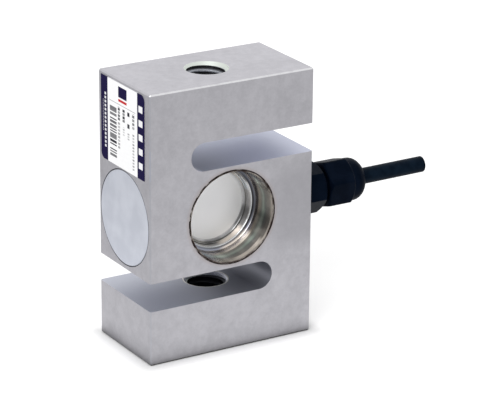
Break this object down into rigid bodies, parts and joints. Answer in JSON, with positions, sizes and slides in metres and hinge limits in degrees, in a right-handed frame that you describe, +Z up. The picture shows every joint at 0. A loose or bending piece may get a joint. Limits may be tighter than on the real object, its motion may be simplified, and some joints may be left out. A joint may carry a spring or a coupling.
{
  "type": "s-type load cell",
  "caption": "Slotted steel S block with a gauged web, threaded load holes in both bars, sealed side cups, a nylon cable gland and a cut signal cable.",
  "frame": {"origin": "centre of the lower load thread on the bottom face, which is the middle of the block's bottom face", "axes": "+Z up along the load axis to the top thread, +X to the cable gland, +Y to the rear pocket; the cover and the label are on the -X end"},
  "size_m": [0.0966, 0.028, 0.0762],
  "materials": {
    "nickel_plated_steel": "satin nickel plate over milled steel",
    "polished_stainless": "bright drawn stainless sheet",
    "tinted_bead": "dark brown sealing bead",
    "cover_stainless": "fine matt stainless",
    "printed_label": "white polyester film with dark blue print",
    "black_nylon": "moulded black nylon",
    "black_rubber": "black nitrile rubber",
    "cable_jacket": "black PVC jacket",
    "insulation_red": "red PVC insulation",
    "insulation_black": "black PVC insulation",
    "insulation_green": "green PVC insulation",
    "insulation_white": "white PVC insulation",
    "foam_pad": "dark grey foam",
    "circuit_board": "green glass-fibre board with tinned pads",
    "resistor_body": "blue lacquered metal film",
    "gauge_foil": "amber polyimide with foil grids",
    "solder_terminal": "copper on polyimide, tinned",
    "enamelled_copper": "enamelled copper wire",
    "clear_silicone": "translucent silicone"
  },
  "bodies": {
    "root": {"s_block": "nickel_plated_steel", "front_cup": "polished_stainless", "rear_cup": "polished_stainless", "front_bead": "tinted_bead", "rear_bead": "tinted_bead", "end_cover": "cover_stainless", "rating_label": "printed_label", "gland_body": "black_nylon", "gland_nut": "black_nylon", "gland_gasket": "black_rubber", "gland_seal": "black_rubber", "signal_cable": "cable_jacket", "core_red": "insulation_red", "core_black": "insulation_black", "core_green": "insulation_green", "core_white": "insulation_white", "board_pad": "foam_pad", "trim_board": "circuit_board", "zero_trim_resistor": "resistor_body", "span_trim_resistor": "resistor_body", "zero_drift_resistor": "resistor_body", "span_drift_resistor": "resistor_body", "front_gauge": "gauge_foil", "rear_gauge": "gauge_foil", "front_terminal": "solder_terminal", "rear_terminal": "solder_terminal", "front_coat": "clear_silicone", "rear_coat": "clear_silicone", "front_lead_1": "enamelled_copper", "front_lead_2": "enamelled_copper", "front_lead_3": "enamelled_copper", "rear_lead_1": "enamelled_copper", "rear_lead_2": "enamelled_copper", "rear_lead_3": "enamelled_copper"}
  },
  "joints": []
}
